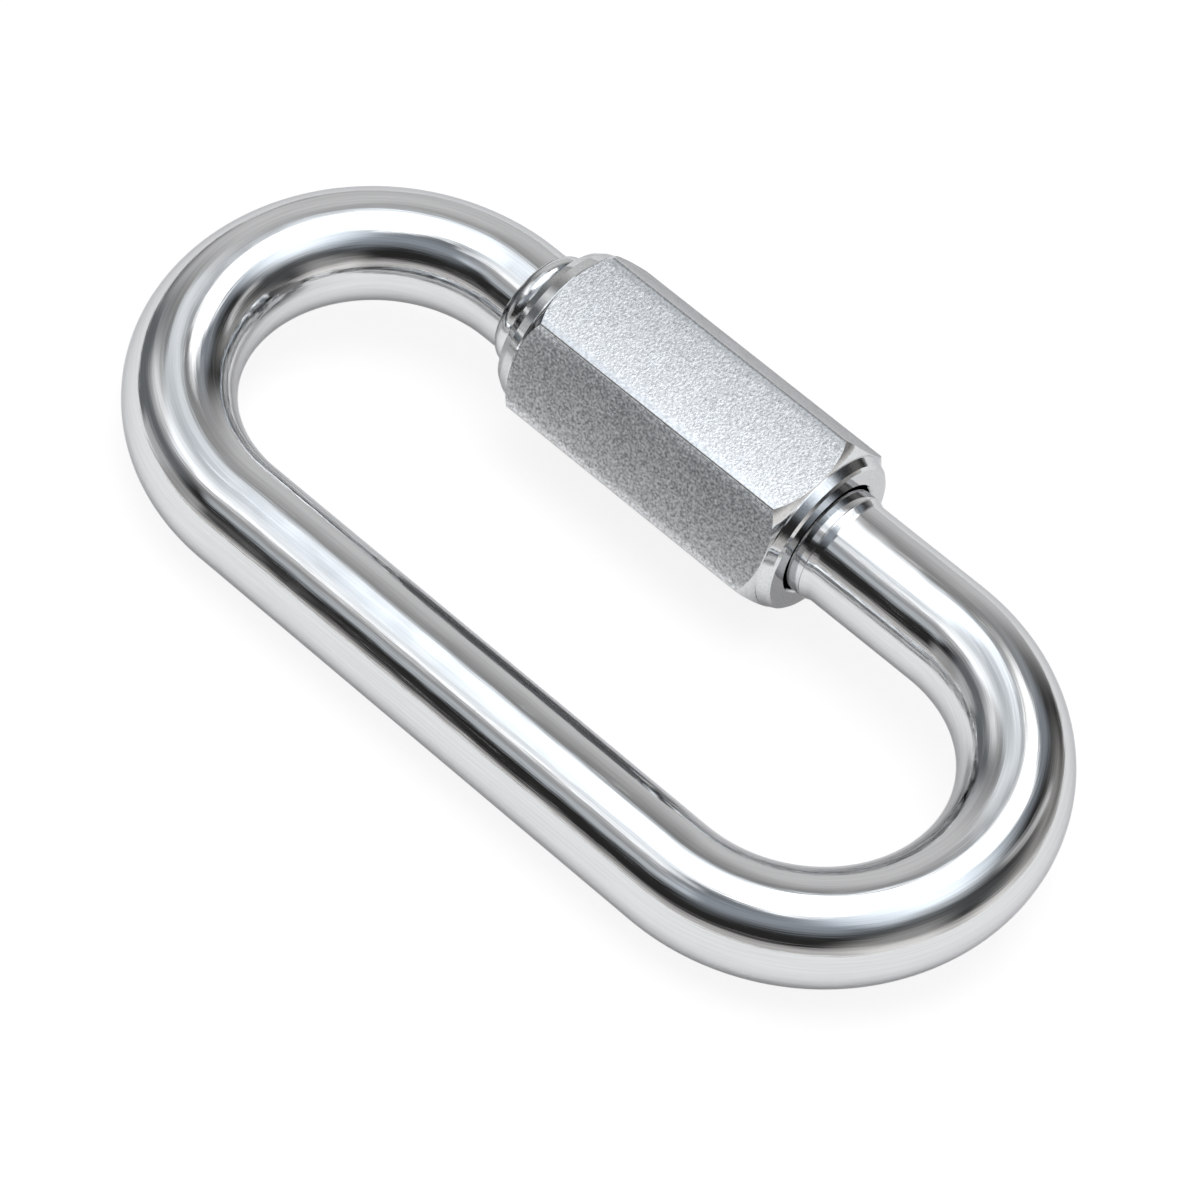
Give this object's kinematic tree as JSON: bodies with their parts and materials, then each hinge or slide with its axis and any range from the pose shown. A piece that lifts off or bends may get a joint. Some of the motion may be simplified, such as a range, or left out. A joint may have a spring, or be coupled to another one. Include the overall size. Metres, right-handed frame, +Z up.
{
  "type": "chain quick link",
  "caption": "Oval loop of bent round bar whose side gate is closed by a long hexagon sleeve nut that runs on a thread, for joining chain, rope fittings or hooks.",
  "frame": {"origin": "middle of the link's box on the surface it lies on, resting on the plain arm and the lowest edge of the nut", "axes": "+X along the thread, the way the nut opens; +Y from the plain arm to the nut; +Z up from the surface"},
  "size_m": [0.0756, 0.0386, 0.0142],
  "materials": {
    "bar": "bright polished steel",
    "nut": "satin steel with grainy flats and bright turned ends"
  },
  "bodies": {
    "link": {"link_body": "bar"},
    "nut": {"hex_nut": "nut"}
  },
  "joints": [
    {"name": "nut_run", "type": "slide", "parent": "link", "child": "nut", "axis": [1, 0, 0], "range_m": [0, 0.01125]}
  ]
}
